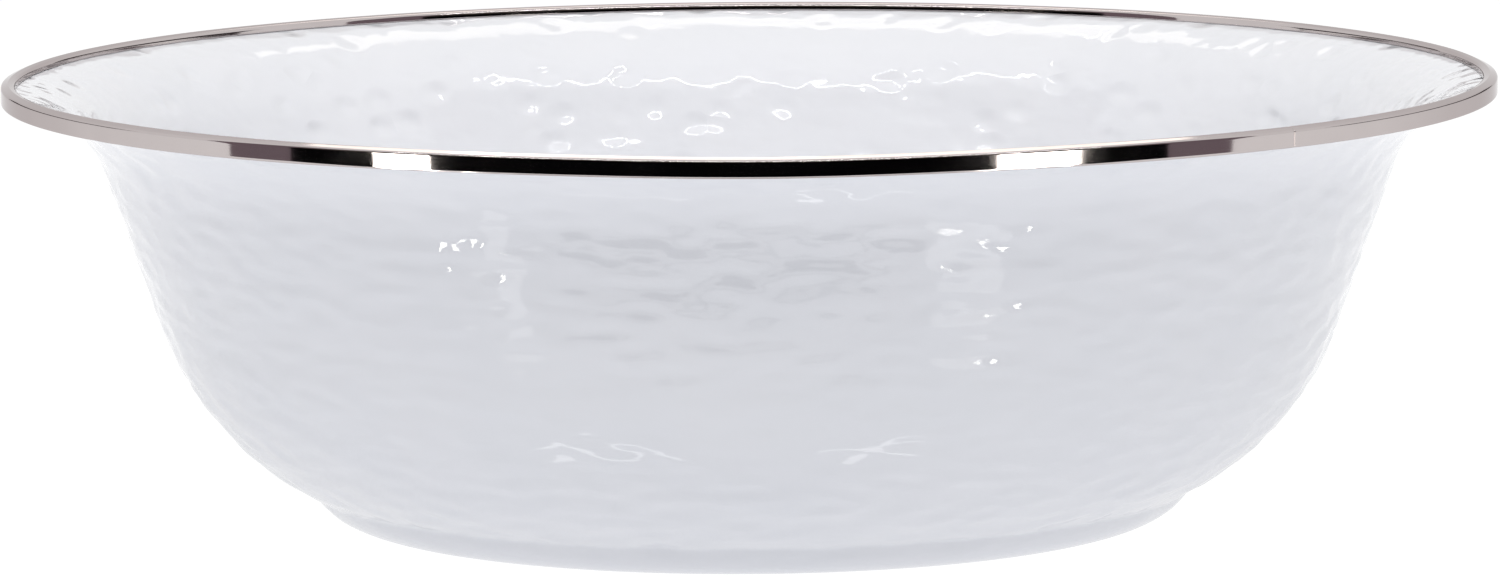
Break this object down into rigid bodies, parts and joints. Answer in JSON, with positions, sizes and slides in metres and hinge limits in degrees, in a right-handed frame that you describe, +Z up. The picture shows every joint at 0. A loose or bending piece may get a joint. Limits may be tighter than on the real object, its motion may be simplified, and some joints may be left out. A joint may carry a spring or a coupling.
{
  "type": "enamel basin bowl",
  "caption": "Low white enamelled steel basin with a flared wall, a narrow flat lip and a polished stainless trim band crimped round it, standing on a short rounded foot",
  "frame": {"origin": "middle of the foot, on the plane the bowl stands on", "axes": "+Z up along the axis of the bowl; the butt joint of the trim band lies at the front right, 46.6 degrees from +X towards -Y"},
  "size_m": [0.3, 0.3, 0.0897],
  "materials": {
    "pressed_steel": "pressed low-carbon steel sheet, covered by the enamel",
    "white_enamel": "glossy white vitreous enamel with a gently rippled surface",
    "polished_stainless": "mirror-polished stainless strip, bent and crimped by hand tools"
  },
  "bodies": {
    "root": {"steel_shell": "pressed_steel", "enamel_inside": "white_enamel", "enamel_outside": "white_enamel", "rim_band": "polished_stainless"}
  },
  "joints": []
}
